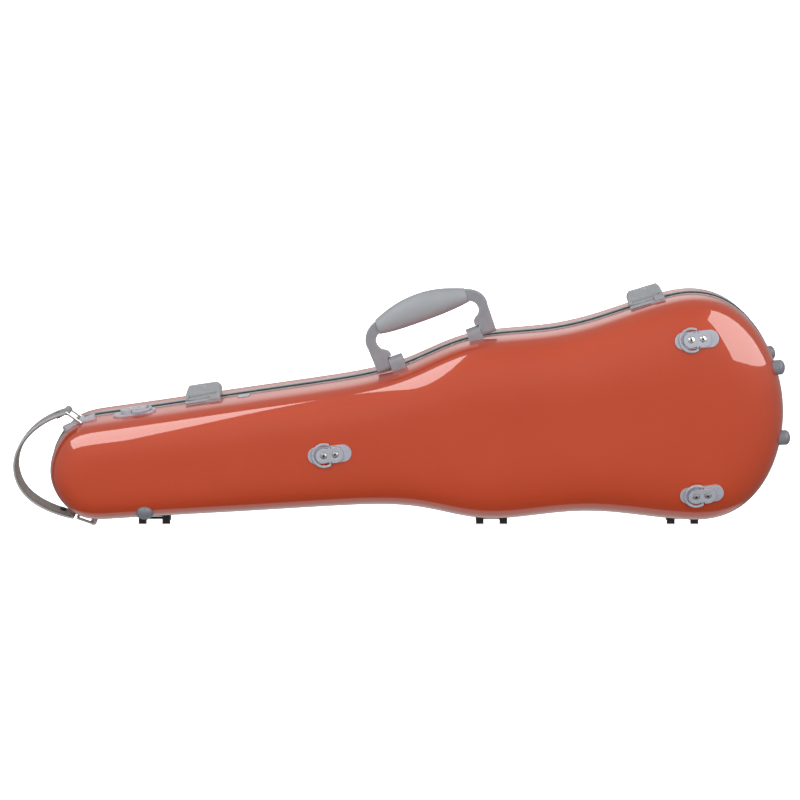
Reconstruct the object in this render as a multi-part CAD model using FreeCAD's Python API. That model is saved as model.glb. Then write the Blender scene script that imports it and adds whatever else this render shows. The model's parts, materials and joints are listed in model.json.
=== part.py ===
import FreeCAD, Part
import functools
import math
import os
from FreeCAD import Placement, Rotation, Vector

# Shaped violin case: a hard shell in two halves that stands on its hinge side with the handle up.
#
# Row frame, in mm: X runs along the hinge line towards the wide end, Y from the base (-Y) to the
# lid (+Y) with the seam at Y = 0 while modelling, and Z up.  Case frame: x runs from the neck tip
# along the case's own axis, z across it, y as in the row frame.  Each fitting is drawn in a frame
# of its own: x along the wall, z out of it.

# ---- driving dimensions: shell ----
CASE_LENGTH = 788.5
BASE_DEPTH = 72.0
LID_DEPTH = 68.0
WALL = 2.4
CROWN = 4.0                 # superellipse exponent that rounds every cross section
BULGE = 0.013               # share of the width by which the side walls belly out
AXIS_TILT = 5.9             # degrees by which the case axis rises towards the wide end
AXIS_X = 375.4              # the neck tip lies this far on the -X side of the middle
AXIS_Z = 60.9               # height of the neck tip above the ground
SPINE_START = 57.0          # the outline is pulled towards a spine between these two stations
SPINE_END = 668.0

# Half outline at the seam: distance from the neck tip and half width.
HALF_OUTLINE = [
    (0, 0), (6, 24), (27, 47), (64, 53.8), (133, 56.7), (214, 60.5), (300, 64.2), (350, 67.7),
    (392, 75.3), (426, 86.3), (460, 95.2), (500, 97.4), (552, 97.2), (592, 101.7), (637, 111.5),
    (672, 118.6), (703, 120.7), (734, 111.4), (763.5, 84), (782.5, 43), (CASE_LENGTH, 0),
]

# ---- driving dimensions: rim, lining ----
BASE_RIM = (-6.0, -2.5)     # from and to, along Y
LID_RIM = (2.5, 11.0)
LID_RIM_LIP = 5.0           # the lid rim's inner lip ends here, where the lid shell starts
BASE_RIM_PROUD = 0.9
GASKET_PROUD = 1.8
LID_RIM_PROUD = 1.6
RIM_INNER = -6.0            # how far the rims reach inwards from the outline
LINER_GAP = 0.4             # between a shell and its lining
LINER_TOP = -6.6            # face of the base lining
POCKET_FLOOR = -44.0
LID_PADDING = 10.0

# ---- driving dimensions: hinges ----
HINGE_X = (-267.4, 99.7, 307.7)
HINGE_WIDTH = 34.0
HINGE_AXIS_Z = 4.5
HINGE_PIN_R = 1.4
KNUCKLE_R = 2.6
LUG_WIDTH = 4.0
LUG_GAP = 0.25
HINGE_REACH = 9.0           # the hinge's reach along Y, each way
HINGE_TOP = 16.0
BLOCK_START = 3.4           # the wide blocks start this far from the pin axis along Y
BLOCK_WIDTH = 8.25

# ---- driving dimensions: latches ----
LATCH_STATIONS = (171.0, 655.5)
LATCH_WIDTH = 38.0
LATCH_PIN = (18.5, 8.0)     # pin axis, y and z in the latch's frame
LATCH_PIN_R = 1.5
RUNNING = 0.05              # radial clearance of every pivot

# ---- driving dimensions: handle ----
HANDLE_X = 38.35
HANDLE_Y = -13.0
HANDLE_Z = 195.95
HANDLE_SLOPE = 20.3         # degrees, along the shoulder of the case
HANDLE_HALF = 60.0          # from the middle to the middle of each foot
BRACKET_R = 7.8
HANDLE_PIN_R = 2.5

# ---- driving dimensions: ring fittings ----
RING_STATIONS = {"ring_neck": (296.3, 1.0), "ring_upper": (693.0, 83.0), "ring_lower": (685.0, -84.0)}
SIDE_RING_STATION = 103.0
SIDE_RING_Y = -22.0
RING_BAR = (6.1, 3.9)       # pivot bar, x and z in the fitting's frame
RING_BAR_R = 1.5
RING_THICK = 3.0
RING_R = (10.8, 13.5)       # inner and outer
SCREW_SPACING = 12.2
PLATE_R = 9.2
PLATE_ENDS = (-7.6, 20.3)
PLATE_TOP = 2.0
BOSS_TOP = 6.2

# ---- driving dimensions: hand strap at the neck end ----
STRAP_Y = -19.0
STRAP_WIDTH = 28.0
STRAP_THICK = 3.6
WEBBING_THICK = 1.4
STRAP_PATH = [
    (-357.5, 127.8), (-381.0, 118.2), (-404.8, 96.5), (-414.2, 70.5), (-406.5, 43.0),
    (-384.0, 24.2), (-352.0, 13.2),
]
STRAP_RINGS = {"top": ((-342.2, 117.9), (-357.0, 128.6)), "bottom": ((-331.5, 6.6), (-348.0, 12.4))}
STRAP_RING_R = 1.5

# ---- driving dimensions: feet, badge, strap plates ----
END_FOOT_R = 8.0
NECK_FOOT_R = 9.4
FOOT_HEIGHT = 10.0
END_FOOT_X = 783.0
END_FOOT_Y = 38.0
END_FOOT_ACROSS = 38.5
NECK_FOOT = (99.0, 60.0, -42.0)
BADGE_STATION = 215.0
STRAP_PLATES = {"top": (1, 36.0, (-13.0, 13.0)), "bottom": (-1, 47.0, (-12.0, 3.0))}

# ---- driving dimensions: inside ----
VIOLIN_POCKET = [
    (398, 30), (408, 66), (432, 80), (462, 85), (494, 80), (520, 66), (548, 60), (580, 64),
    (606, 78), (636, 95), (676, 106), (716, 102), (746, 83), (762, 45),
]
NECK_POCKET = (236.0, 440.0, 26.0)      # from and to station, half width
SCROLL_POCKET = (160.0, 246.0, 34.0)
ACCESSORY_BIN = (84.0, 138.0)
ACCESSORY_LID = 44.0
ACCESSORY_HALF = 30.0
ACCESSORY_THICK = 5.0
ACCESSORY_HINGE = 4.0       # the lid's pivot lies this far from the bin's end
CRADLE = (262.0, 300.0)
FOAM_JOINTS = (32.0, 70.0, 150.0, 240.0, 345.0, 408.0, 460.0, 512.0, 566.0, 622.0, 682.0, 728.0, 758.0)
LID_BLOCK_TOP = 46.0
BOW_Y = 38.0
BOW_ACROSS = (-20.0, 20.0)
BOW_TIP_X = (42.0, 66.0)
SPINNER_X = 690.0
SPINNER_POST_R = 3.0

FAR = 2000.0

parts = {}

CASE = Placement(Vector(-AXIS_X, 0, AXIS_Z), Rotation(Vector(0, 1, 0), -AXIS_TILT))


# ---- helpers ----
def box(x0, x1, y0, y1, z0, z1):
    return Part.makeBox(x1 - x0, y1 - y0, z1 - z0, Vector(x0, y0, z0))


def slab(y0, y1):
    """Everything between two levels along Y."""
    return box(-FAR, FAR, y0, y1, -FAR, FAR)


def rod(start, end, radius):
    line = end - start
    return Part.makeCylinder(radius, line.Length, start, line)


def prism_x(profile, x0, x1):
    """Extrude a closed (y, z) profile along x."""
    points = [Vector(x0, y, z) for y, z in profile]
    return Part.Face(Part.makePolygon(points + points[:1])).extrude(Vector(x1 - x0, 0, 0))


def rounded_box(x0, x1, y0, y1, z0, z1, corner, edge):
    """Plate with rounded corners in plan and softened top edges."""
    plate = box(x0, x1, y0, y1, z0, z1)
    upright = [e for e in plate.Edges if abs(e.tangentAt(e.FirstParameter).z) > 0.9]
    plate = plate.makeFillet(corner, upright)
    top = [e for e in plate.Edges if min(v.Z for v in e.Vertexes) > z1 - 1e-6]
    return plate.makeFillet(edge, top)


def stadium(x0, x1, radius, z0, z1):
    """Plate with round ends, centred on the x axis."""
    body = box(x0, x1, -radius, radius, z0, z1)
    for x in (x0, x1):
        body = body.fuse(Part.makeCylinder(radius, z1 - z0, Vector(x, 0, z0)))
    return body.removeSplitter()


def placed(shape, frame):
    moved = shape.copy()
    moved.Placement = frame.multiply(moved.Placement)
    return moved


# ---- the outline and the shell's shape ----
def outline_knots():
    half = HALF_OUTLINE
    loop = half + [(x, -z) for x, z in reversed(half[1:-1])] + half[:1]
    knots = [0.0]
    for (x0, z0), (x1, z1) in zip(loop, loop[1:]):
        knots.append(knots[-1] + math.hypot(x1 - x0, z1 - z0))
    return loop[:-1], knots


def closed_curve(points, knots):
    curve = Part.BSplineCurve()
    curve.interpolate(Points=points, PeriodicFlag=True, Parameters=knots)
    return curve


LOOP, KNOTS = outline_knots()
SEAM = closed_curve([Vector(x, 0, z) for x, z in LOOP], KNOTS)


def outline(offset=0.0, pull=1.0, y=0.0):
    """The seam outline grown by an offset, pulled towards the spine and set at a level y."""
    points = []
    for knot in KNOTS[:-1]:
        point = SEAM.value(knot)
        tangent = SEAM.tangent(knot)[0]
        point = point + Vector(-tangent.z, 0, tangent.x) * offset
        spine = Vector(min(max(point.x, SPINE_START), SPINE_END), 0, 0)
        points.append(spine + (point - spine) * pull + Vector(0, y, 0))
    return closed_curve(points, KNOTS)


def pull_at(level):
    """How much of its width the case keeps at a level, given as a share of the depth."""
    return (1 - abs(level) ** CROWN) ** (1 / CROWN) + BULGE * math.sin(math.pi * abs(level))


@functools.cache
def pillow(offset=0.0):
    """Solid with the closed case's outer shape, grown by an offset."""
    steps = (0.2, 0.4, 0.6, 0.75, 0.87, 0.94, 0.98, 0.995, 0.9991)
    levels = [-s for s in reversed(steps)] + [0.0] + list(steps)
    wires = []
    for level in levels:
        depth = (LID_DEPTH if level > 0 else BASE_DEPTH) + offset
        wires.append(Part.Wire(outline(offset, pull_at(level), level * depth).toShape()))
    return placed(Part.makeLoft(wires, True, False), CASE)


def prism(offset, y0, y1):
    """Upright-walled solid with the seam outline, grown by an offset."""
    face = Part.Face(Part.Wire(outline(offset, 1.0, y0).toShape()))
    return placed(face.extrude(Vector(0, y1 - y0, 0)), CASE)


def band(outer, inner, y0, y1):
    """Ring that follows the seam outline."""
    return prism(outer, y0, y1).cut(prism(inner, y0 - 1, y1 + 1))


OUTER = pillow()


def wall_frame(station, y, side=1):
    """Frame on the side wall: x along the wall to the wide end (side 1) or back (side -1), z out."""
    depth = LID_DEPTH if y > 0 else BASE_DEPTH
    curve = outline(0.0, pull_at(y / depth), y)
    middle = KNOTS[len(HALF_OUTLINE) - 1]
    low, high = 0.0, middle
    while high - low > 1e-4:
        knot = (low + high) / 2
        if curve.value(knot).x < station:
            low = knot
        else:
            high = knot
    point, tangent = curve.value(low), curve.tangent(low)[0]
    slope = math.degrees(math.atan2(tangent.z, tangent.x))
    if side < 0:
        point, slope = Vector(point.x, y, -point.z), 180 - slope
    return CASE.multiply(Placement(point, Rotation(Vector(0, 1, 0), -slope)))


def face_frame(station, across):
    """Frame on the base's face: x along the case axis, y across it and z out of the face."""
    start = CASE.multVec(Vector(station, -FAR, across))
    ray = Part.LineSegment(start, start + Vector(0, FAR, 0)).toShape()
    point = min(OUTER.common(ray).Vertexes, key=lambda v: v.Y).Point
    skin = min(OUTER.Faces, key=lambda f: f.distToShape(Part.Vertex(point))[0])
    normal = skin.normalAt(*skin.Surface.parameter(point))
    if normal.y > 0:
        normal = -normal
    along = CASE.Rotation.multVec(Vector(1, 0, 0))
    along = (along - normal * along.dot(normal)).normalize()
    return Placement(point, Rotation(along, normal.cross(along), normal, "ZXY"))


# ---- shells, rims, gasket ----
def make_shells():
    skin = OUTER.cut(pillow(-WALL))
    parts["base_shell"] = skin.common(slab(-FAR / 2, BASE_RIM[0]))
    parts["lid_shell"] = skin.common(slab(LID_RIM_LIP, FAR / 2))
    parts["base_rim"] = band(BASE_RIM_PROUD, RIM_INNER, *BASE_RIM)
    parts["rim_gasket"] = band(GASKET_PROUD, RIM_INNER + 2, BASE_RIM[1], LID_RIM[0])
    lip = band(LID_RIM_PROUD, RIM_INNER, LID_RIM[0], LID_RIM_LIP)
    cover = prism(LID_RIM_PROUD, LID_RIM_LIP, LID_RIM[1]).cut(OUTER)
    parts["lid_rim"] = lip.fuse(cover).removeSplitter()


# ---- linings ----
def upright(shape):
    """Edges that run along Y, before the shape is placed in the case."""
    return [e for e in shape.Edges if abs(e.tangentAt(e.FirstParameter).y) > 0.9]


def hollow(x0, x1, half, corner, floor=POCKET_FLOOR):
    space = box(x0, x1, floor, LINER_TOP + 1, -half, half)
    return space.makeFillet(corner, upright(space))


def violin_pocket():
    upper = [Vector(x, POCKET_FLOOR, z) for x, z in VIOLIN_POCKET]
    lower = [Vector(x, POCKET_FLOOR, -z) for x, z in reversed(VIOLIN_POCKET)]
    curve = Part.BSplineCurve()
    curve.interpolate(Points=upper + lower, PeriodicFlag=True)
    face = Part.Face(Part.Wire(curve.toShape()))
    return face.extrude(Vector(0, LINER_TOP + 1 - POCKET_FLOOR, 0))


def foam_blocks(shape, level, walls_above):
    """Cut a lining into its glued blocks: a flat layer on one side of a level, halved walls on the other."""
    stations = (-FAR,) + FOAM_JOINTS + (FAR,)
    flat, walls = slab(-FAR / 2, level), slab(level, FAR / 2)
    if not walls_above:
        flat, walls = walls, flat
    blocks = []
    for x0, x1 in zip(stations, stations[1:]):
        for layer, edges in ((flat, (-FAR, FAR)), (walls, (-FAR, 0, FAR))):
            for z0, z1 in zip(edges, edges[1:]):
                piece = placed(box(x0, x1, -FAR / 2, FAR / 2, z0, z1), CASE)
                blocks += shape.common(layer).common(piece).Solids
    return Part.makeCompound(blocks)


def make_base_lining():
    body = pillow(-WALL - LINER_GAP).common(slab(-FAR / 2, LINER_TOP))
    x0, x1 = ACCESSORY_BIN
    edge = x1 - ACCESSORY_HINGE
    near = edge - ACCESSORY_LID
    half = ACCESSORY_HALF
    ledge = hollow(near - 1, x1 + 1, half + 1, 3, LINER_TOP - ACCESSORY_THICK - 0.6)
    bin_space = hollow(x0 + 8, x1, half - 3, 8)
    for space in (violin_pocket(), hollow(*NECK_POCKET, 3), hollow(*SCROLL_POCKET, 12), bin_space, ledge):
        body = body.cut(placed(space, CASE))
    parts["base_liner"] = foam_blocks(body, POCKET_FLOOR, True)
    middle = LINER_TOP - ACCESSORY_THICK / 2
    cover = box(near, edge, LINER_TOP - ACCESSORY_THICK, LINER_TOP, -half, half)
    cover = cover.makeFillet(5, [e for e in upright(cover) if e.Vertexes[0].X < edge - 1])
    roll = rod(Vector(edge, middle, -half), Vector(edge, middle, half), ACCESSORY_THICK / 2)
    parts["accessory_lid"] = placed(cover.fuse(roll).removeSplitter(), CASE)
    tab = box(near - 8, near + 6, LINER_TOP, LINER_TOP + 1.4, -7, 7)
    parts["accessory_lid_tab"] = placed(tab.makeFillet(3, upright(tab)), CASE)
    x0, x1 = CRADLE
    cradle = box(x0, x1, POCKET_FLOOR, POCKET_FLOOR + 14, -25.5, 25.5)
    groove = rod(Vector(x0 - 9, POCKET_FLOOR + 24, 0), Vector(x1 + 9, POCKET_FLOOR + 24, 0), 18)
    parts["neck_cradle"] = placed(cradle.cut(groove), CASE)
    strap = box(x0 + 6, x1 - 6, LINER_TOP, LINER_TOP + 2, -38, 38)
    parts["neck_strap"] = placed(strap.makeFillet(4, upright(strap)), CASE)


def make_lid_lining():
    inside = pillow(-WALL - LINER_GAP - LID_PADDING)
    lining = pillow(-WALL - LINER_GAP).cut(inside).common(slab(LID_RIM_LIP + 0.5, FAR / 2))
    parts["lid_liner"] = foam_blocks(lining, LID_BLOCK_TOP, False)
    for index, across in enumerate(BOW_ACROSS, 1):
        tip = box(*BOW_TIP_X, BOW_Y - 13, BOW_Y + 9, across - 13, across + 13)
        tip = tip.makeFillet(5, [e for e in tip.Edges if abs(e.tangentAt(0).x) > 0.9])
        slot = box(BOW_TIP_X[0] + 5, BOW_TIP_X[1] + 1, BOW_Y - 8, BOW_Y + 4, across - 7, across + 7)
        parts[f"bow_tip_holder_{index}"] = placed(tip.cut(slot), CASE).common(inside)


def make_bow_spinners():
    """Turning arms that hold the bows, each on a post that stands on the lid's padding."""
    padding = LID_DEPTH - WALL - LINER_GAP - LID_PADDING - 1.2
    neck, top = BOW_Y - 9, BOW_Y - 11
    posts = []
    for index, across in enumerate(BOW_ACROSS, 1):
        at = [Vector(SPINNER_X, y, across) for y in (padding - 3, padding, neck, top)]
        post = rod(at[1], at[2], SPINNER_POST_R).fuse([rod(at[0], at[1], 9.0), rod(at[2], at[3], 5.0)])
        posts.append(placed(post, CASE))
        arm = box(SPINNER_X - 18, SPINNER_X + 18, neck + 0.2, neck + 4.2, across - 7, across + 7)
        arm = arm.makeFillet(6.5, upright(arm))
        bore = rod(at[1], at[3], SPINNER_POST_R + RUNNING)
        parts[f"bow_spinner_{index}"] = placed(arm.cut(bore), CASE)
    parts["bow_spinner_posts"] = Part.makeCompound(posts)


# ---- hinges ----
def lug(x0, x1, side, foot):
    """Upright arm beside the pin on one side of the seam, from its knuckle up to the leaf."""
    near, far = sorted((x0, x1))
    knuckle = Part.makeCylinder(KNUCKLE_R, far - near, Vector(near, 0, HINGE_AXIS_Z), Vector(1, 0, 0))
    profile = [(1.0, HINGE_AXIS_Z), (1.0, HINGE_TOP), (foot, HINGE_TOP), (foot, HINGE_AXIS_Z)]
    return knuckle.fuse(prism_x([(side * y, z) for y, z in profile], near, far))


def make_hinges():
    """Each hinge: two base lugs outside, two lid lugs inside them, and a pin along X."""
    gasket = prism(GASKET_PROUD + 0.2, BASE_RIM[1] - 0.3, LID_RIM[0] + 0.3)
    base_seat = OUTER.fuse([prism(BASE_RIM_PROUD + 0.1, *BASE_RIM), gasket])
    lid_seat = OUTER.fuse([prism(LID_RIM_PROUD + 0.1, *LID_RIM), gasket])
    half = HINGE_WIDTH / 2
    inner = half - LUG_WIDTH - LUG_GAP
    bottom = HINGE_AXIS_Z + 4.0
    reach = HINGE_REACH
    block = [(-reach, 0), (-reach, HINGE_TOP), (-BLOCK_START, HINGE_TOP), (-BLOCK_START, 0)]
    lid_block = [(reach, 0), (reach, HINGE_TOP), (BLOCK_START, HINGE_TOP), (BLOCK_START, 2.6), (8.1, 0)]
    for number, x in enumerate(HINGE_X, 1):
        axis = [Vector(x - half, 0, HINGE_AXIS_Z), Vector(x + half, 0, HINGE_AXIS_Z)]
        pin = rod(*axis, HINGE_PIN_R)
        bore = rod(*axis, HINGE_PIN_R + RUNNING)
        base = box(x - half, x + half, -reach, -1.4, bottom, HINGE_TOP)
        lid = box(x - half, x + half, 1.4, reach, bottom, HINGE_TOP)
        for side in (-1, 1):
            outside = x + side * half
            base = base.fuse([lug(outside, outside - side * LUG_WIDTH, -1, BLOCK_START),
                              prism_x(block, *sorted((outside, outside - side * BLOCK_WIDTH)))])
            inside = x + side * inner
            lid = lid.fuse([lug(inside, inside - side * LUG_WIDTH, 1, BLOCK_START),
                            prism_x(lid_block, *sorted((outside, outside - side * BLOCK_WIDTH)))])
        parts[f"hinge_pin_{number}"] = pin
        parts[f"hinge_base_leaf_{number}"] = base.cut([base_seat, pin]).removeSplitter()
        parts[f"hinge_lid_leaf_{number}"] = lid.cut([lid_seat, bore]).removeSplitter()


# ---- latches ----
LEVER_PROFILE = [
    (-7.5, 4.7), (-7.5, 9.2), (9.5, 14.8), (15.0, 14.8), (21.6, 9.4), (21.6, 5.4), (19.0, 4.7),
    (13.0, 4.7), (12.4, 2.0), (-4.5, 2.0), (-5.5, 4.7),
]
LEVER_SIDES = [
    (-19, -5), (-19, 7.6), (-17.7, 11.0), (-15.9, 14.0), (-15.1, 14.7), (-13.8, 15.5),
    (13.8, 15.5), (15.1, 14.7), (15.9, 14.0), (17.7, 11.0), (19, 7.6), (19, -5),
]
LEVER_ARM = [(-14.0, 4.7), (-14.0, 6.9), (-7.0, 9.3), (-7.0, 4.7)]
LEVER_TAB = [(-22.0, 3.2), (-22.0, 4.4), (-14.5, 7.2), (-13.5, 7.2), (-13.5, 4.7), (-15.0, 3.2)]
KEEPER = [
    (-21.0, -3.0), (-21.0, 3.4), (-20.0, 4.2), (-14.2, 4.2), (-14.2, 6.0), (-9.0, 6.6), (-8.5, 6.0),
    (-8.5, -3.0),
]
LATCH_ARM = 3.8


def latch_frame(number):
    return wall_frame(LATCH_STATIONS[number - 1], 0)


def make_latch(number):
    frame = latch_frame(number)
    half = LATCH_WIDTH / 2
    inner = half - LATCH_ARM
    pin_y, pin_z = LATCH_PIN
    lever = prism_x(LEVER_PROFILE, -half, half)
    arms = [prism_x(LEVER_ARM, -half, -inner), prism_x(LEVER_ARM, inner, half)]
    lever = lever.fuse(arms + [prism_x(LEVER_TAB, 8, half)]).removeSplitter()
    sides = Part.Face(Part.makePolygon([Vector(x, -30, z) for x, z in LEVER_SIDES + LEVER_SIDES[:1]]))
    dimple = Part.makeSphere(6.0, Vector(1.5, 3.0, 17.6))
    lever = lever.common(sides.extrude(Vector(0, 60, 0))).cut(dimple)
    lug_room = box(-6.4, 6.4, 14.2, 23, 4, 12.2)
    ends = [Vector(x, pin_y, pin_z) for x in (-half - 1, half + 1)]
    bore = rod(*ends, LATCH_PIN_R + RUNNING)
    parts[f"latch_lever_{number}"] = placed(lever.cut([lug_room, bore]), frame)

    tab_room = box(7.6, half + 1, -25, -5, 2.6, 9)
    arm_room = box(-half - 1, -inner + 0.4, -14.3, -5, 4.2, 9)
    groove = box(-half - 1, 3, -22, -19.7, 1.2, 2.2)
    keeper = prism_x(KEEPER, -half, half).cut([tab_room, arm_room, groove])
    parts[f"latch_keeper_{number}"] = placed(keeper, frame).cut(OUTER)

    support = box(-6, 6, 15.3, 21.7, 3, pin_z)
    crown = Part.makeCylinder(3.2, 12, Vector(-6, pin_y, pin_z), Vector(1, 0, 0))
    plate = box(-half + 2, half - 2, 14.4, 27, -4, 3.6)
    pin = rod(Vector(-half + 0.5, pin_y, pin_z), Vector(half - 0.5, pin_y, pin_z), LATCH_PIN_R)
    base = plate.fuse([support, crown]).removeSplitter().cut(pin)
    parts[f"latch_base_{number}"] = placed(base, frame).cut(OUTER)
    parts[f"latch_pin_{number}"] = placed(pin, frame)


# ---- handle ----
HANDLE = Placement(Vector(HANDLE_X, HANDLE_Y, HANDLE_Z), Rotation(Vector(0, 1, 0), -HANDLE_SLOPE))
GRIP_SECTIONS = [
    (-50.5, 35.0, 51.0, 7.8), (-38, 33.2, 55.8, 10.2), (-19, 32.2, 60.8, 12.0), (0, 32.0, 62.3, 12.6),
    (19, 32.2, 60.6, 12.0), (38, 33.4, 55.4, 10.2), (50.5, 35.0, 50.6, 7.7),
]
ARM_THICK = 9.6
CORE_HEIGHT = 43.0
CORE_R = 5.6


def arm_outline():
    """Right arm from the grip down to its foot, with the lip that hooks over the bracket."""
    outer = Part.BSplineCurve()
    outer.interpolate([Vector(46, 0, 49.5), Vector(60.5, 0, 44), Vector(67.2, 0, 35.6), Vector(68.2, 0, 25)])
    inner = Part.BSplineCurve()
    knuckle_side = [(51.5, 16.5), (57.2, 22.5), (56.8, 31.0), (46.0, 36.5)]
    inner.interpolate([Vector(x, 0, z) for x, z in knuckle_side])
    corners = [Vector(68.2, 0, 25), Vector(67.4, 0, -4.8), Vector(52.3, 0, -4.8), Vector(52.3, 0, 8.5),
               Vector(47.6, 0, 9.4), Vector(48.2, 0, 13.5), Vector(51.5, 0, 16.5)]
    edges = [outer.toShape()]
    edges += [Part.makeLine(a, b) for a, b in zip(corners, corners[1:])]
    edges += [inner.toShape(), Part.makeLine(Vector(46, 0, 36.5), Vector(46, 0, 49.5))]
    return Part.Face(Part.Wire(edges))


def make_handle():
    half = ARM_THICK / 2
    arm = arm_outline()
    arm.translate(Vector(0, -half, 0))
    arm = arm.extrude(Vector(0, ARM_THICK, 0))
    side = box(0, 80, -half, half, 0, 60).fuse(Part.makeCylinder(half, 80, Vector(0, 0, 0), Vector(1, 0, 0)))
    arm = arm.common(side)
    mirrored = arm.mirror(Vector(0, 0, 0), Vector(1, 0, 0))
    core = rod(Vector(-52, 0, CORE_HEIGHT), Vector(52, 0, CORE_HEIGHT), CORE_R)
    frame = arm.fuse([mirrored, core])
    pins = []
    for side in (-1, 1):
        socket = rod(Vector(side * 50, 0, 0), Vector(side * 64.5, 0, 0), HANDLE_PIN_R + RUNNING)
        frame = frame.cut(socket)
        pin = rod(Vector(side * 38, 0, 0), Vector(side * 64, 0, 0), HANDLE_PIN_R)
        pins.append(placed(pin, HANDLE))
        inner, outer = sorted((side * 36.6, side * 51.8))
        block = box(inner, outer, -BRACKET_R, BRACKET_R, -22, 0)
        block = block.fuse(Part.makeCylinder(BRACKET_R, outer - inner, Vector(inner, 0, 0), Vector(1, 0, 0)))
        name = "handle_bracket_left" if side < 0 else "handle_bracket_right"
        seat = OUTER.fuse(prism(BASE_RIM_PROUD + 0.1, *BASE_RIM))
        parts[name] = placed(block.removeSplitter().cut(pin), HANDLE).cut(seat)
    parts["handle_pins"] = Part.makeCompound(pins)
    parts["handle_frame"] = placed(frame, HANDLE)
    wires = []
    for along, bottom, top, wide in GRIP_SECTIONS:
        oval = Part.Ellipse(Vector(0, 0, 0), (top - bottom) / 2, wide).toShape()
        wire = Part.Wire(oval)
        upright_oval = Rotation(Vector(0, 0, 1), Vector(0, 1, 0), Vector(1, 0, 0))
        wire.Placement = Placement(Vector(along, 0, (top + bottom) / 2), upright_oval)
        wires.append(wire)
    grip = Part.makeLoft(wires, True, False).cut([core, arm, mirrored])
    parts["handle_grip"] = placed(max(grip.Solids, key=lambda s: s.Volume), HANDLE)


# ---- ring fittings ----
def ring_plate():
    """Flat plate with a boss for two screws: the ring lies round the boss on a bar through its waist."""
    bar_x, bar_z = RING_BAR
    plate = stadium(*PLATE_ENDS, PLATE_R, -2, PLATE_TOP)
    boss = Part.makeCylinder(8.0, BOSS_TOP + 2, Vector(0, 0, -2))
    boss = boss.fuse(stadium(SCREW_SPACING - 4, SCREW_SPACING, 8.6, -2, BOSS_TOP))
    boss = boss.fuse(box(0, SCREW_SPACING, -7.1, 7.1, -2, BOSS_TOP))
    notches = [box(bar_x - 2.6, bar_x + 2.6, *sorted((side * 7.1, side * 12)), PLATE_TOP, BOSS_TOP + 1)
               for side in (-1, 1)]
    bore = rod(Vector(bar_x, -20, bar_z), Vector(bar_x, 20, bar_z), RING_BAR_R + RUNNING)
    top = Vector(0, 0, BOSS_TOP + 0.01)
    down = Vector(0, 0, -1)
    recesses = [Part.makeCone(4.1, 3.0, 1.8, top + Vector(x, 0, 0), down) for x in (0, SCREW_SPACING)]
    return plate.fuse(boss.cut(notches)).removeSplitter().cut([bore] + recesses)


def ring():
    bar_x, bar_z = RING_BAR
    inner_r, outer_r = RING_R
    low = Vector(0.5, 0, bar_z - RING_THICK / 2)
    hoop = Part.makeCylinder(outer_r, RING_THICK, low).cut(Part.makeCylinder(inner_r, RING_THICK, low))
    hoop = hoop.makeFillet(1.2, [e for e in hoop.Edges if e.Curve.TypeId == "Part::GeomCircle"])
    hoop = hoop.common(box(-30, bar_x + 0.8, -20, 20, -5, 15))
    return hoop.fuse(rod(Vector(bar_x, -9, bar_z), Vector(bar_x, 9, bar_z), RING_BAR_R))


def screws():
    heads = []
    floor = BOSS_TOP - 1.6
    for x in (0, SCREW_SPACING):
        head = Part.makeCone(3.0, 3.9, 1.3, Vector(x, 0, floor))
        dome = Part.makeSphere(6.4, Vector(x, 0, floor - 4.2))
        dome = dome.common(Part.makeCylinder(3.85, 2, Vector(x, 0, floor + 1.2)))
        socket = Part.makeCylinder(1.3, 4, Vector(x, 0, floor + 0.4))
        shank = Part.makeCylinder(1.6, floor + 1.0, Vector(x, 0, -0.9))
        heads.append(head.fuse([dome, shank]).cut(socket))
    return heads


def ring_frames():
    frames = {name: face_frame(*station) for name, station in RING_STATIONS.items()}
    wall = wall_frame(SIDE_RING_STATION, SIDE_RING_Y)
    frames["ring_side"] = wall.multiply(Placement(Vector(0, 0, 0), Rotation(Vector(0, 0, 1), 180)))
    return frames


def make_ring_fittings():
    all_screws = []
    for name, frame in ring_frames().items():
        drawn = [placed(screw, frame) for screw in screws()]
        plate = placed(ring_plate(), frame).cut(OUTER)
        parts[name + "_plate"] = plate.cut(drawn)
        parts[name] = placed(ring(), frame)
        all_screws += [screw.cut(OUTER) for screw in drawn]
    parts["plate_screws"] = Part.makeCompound(all_screws)


# ---- hand strap at the neck end ----
def strap_curve(offset):
    """The strap's path in the XZ plane, moved to its outer side by an offset."""
    middle = Part.BSplineCurve()
    middle.interpolate([Vector(x, 0, z) for x, z in STRAP_PATH])
    first, last = middle.FirstParameter, middle.LastParameter
    points = []
    for step in range(13):
        knot = first + (last - first) * step / 12
        tangent = middle.tangent(knot)[0]
        points.append(middle.value(knot) + Vector(tangent.z, 0, -tangent.x) * offset)
    curve = Part.BSplineCurve()
    curve.interpolate(points)
    return curve.toShape()


def strap_layer(inner, outer, width):
    """Band between two offsets from the path; positive is away from the case."""
    low, high = strap_curve(inner), strap_curve(outer)
    ends = [Part.makeLine(low.Vertexes[i].Point, high.Vertexes[i].Point) for i in (0, 1)]
    face = Part.Face(Part.Wire(Part.__sortEdges__([low, high] + ends)))
    face.translate(Vector(0, STRAP_Y - width / 2, 0))
    return face.extrude(Vector(0, width, 0))


def wire_loop(root, tip, width, radius):
    """Rectangular wire ring between two places in the XZ plane, as wide as given along Y."""
    corners = []
    for (x, z), side in ((root, -1), (root, 1), (tip, 1), (tip, -1)):
        corners.append(Vector(x, STRAP_Y + side * width / 2, z))
    solids = [rod(a, b, radius) for a, b in zip(corners, corners[1:] + corners[:1])]
    solids += [Part.makeSphere(radius, corner) for corner in corners]
    return solids[0].fuse(solids[1:]).removeSplitter()


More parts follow.
